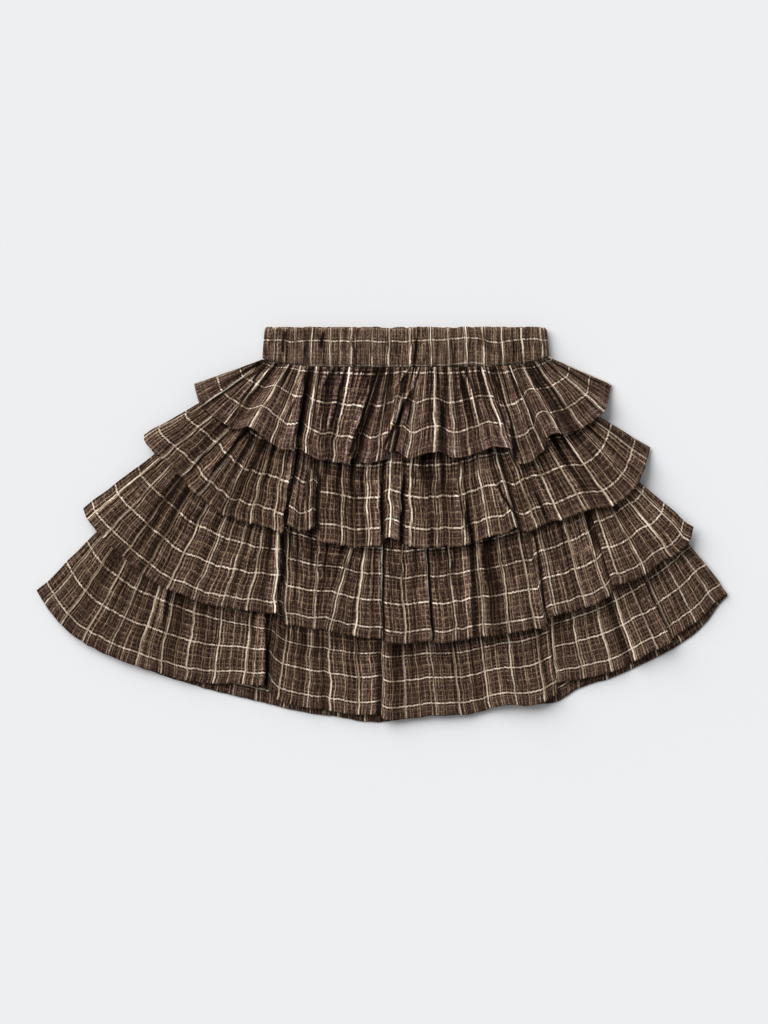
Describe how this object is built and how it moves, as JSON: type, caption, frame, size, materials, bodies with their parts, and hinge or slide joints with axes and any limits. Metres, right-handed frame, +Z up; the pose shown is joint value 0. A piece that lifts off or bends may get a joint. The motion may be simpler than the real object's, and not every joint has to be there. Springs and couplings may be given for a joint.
{
  "type": "tiered ruffle skirt",
  "caption": "Child's skirt with gathered ruffle tiers sewn to a plain underskirt below a gathered elastic waistband, laid flat with its front up.",
  "frame": {"origin": "on the surface the skirt lies on, under the middle of its bounding box", "axes": "+X across the skirt, to the right seen from above with the waistband away from the viewer; +Y up the skirt towards the waistband; +Z up from the surface"},
  "size_m": [0.552, 0.316, 0.0196],
  "materials": {
    "plaid_cotton": "matt crinkled cotton in dark brown with thin cream and tan check lines",
    "waistband_cotton": "the same crinkled cotton, gathered over elastic",
    "underskirt_cotton": "the same crinkled cotton, plain and flat"
  },
  "bodies": {
    "root": {"waistband": "waistband_cotton", "base_front": "underskirt_cotton", "base_back": "underskirt_cotton", "tier1_front": "plaid_cotton", "tier1_back": "plaid_cotton", "tier2_front": "plaid_cotton", "tier2_back": "plaid_cotton", "tier3_front": "plaid_cotton", "tier3_back": "plaid_cotton", "tier4_front": "plaid_cotton", "tier4_back": "plaid_cotton"}
  },
  "joints": []
}
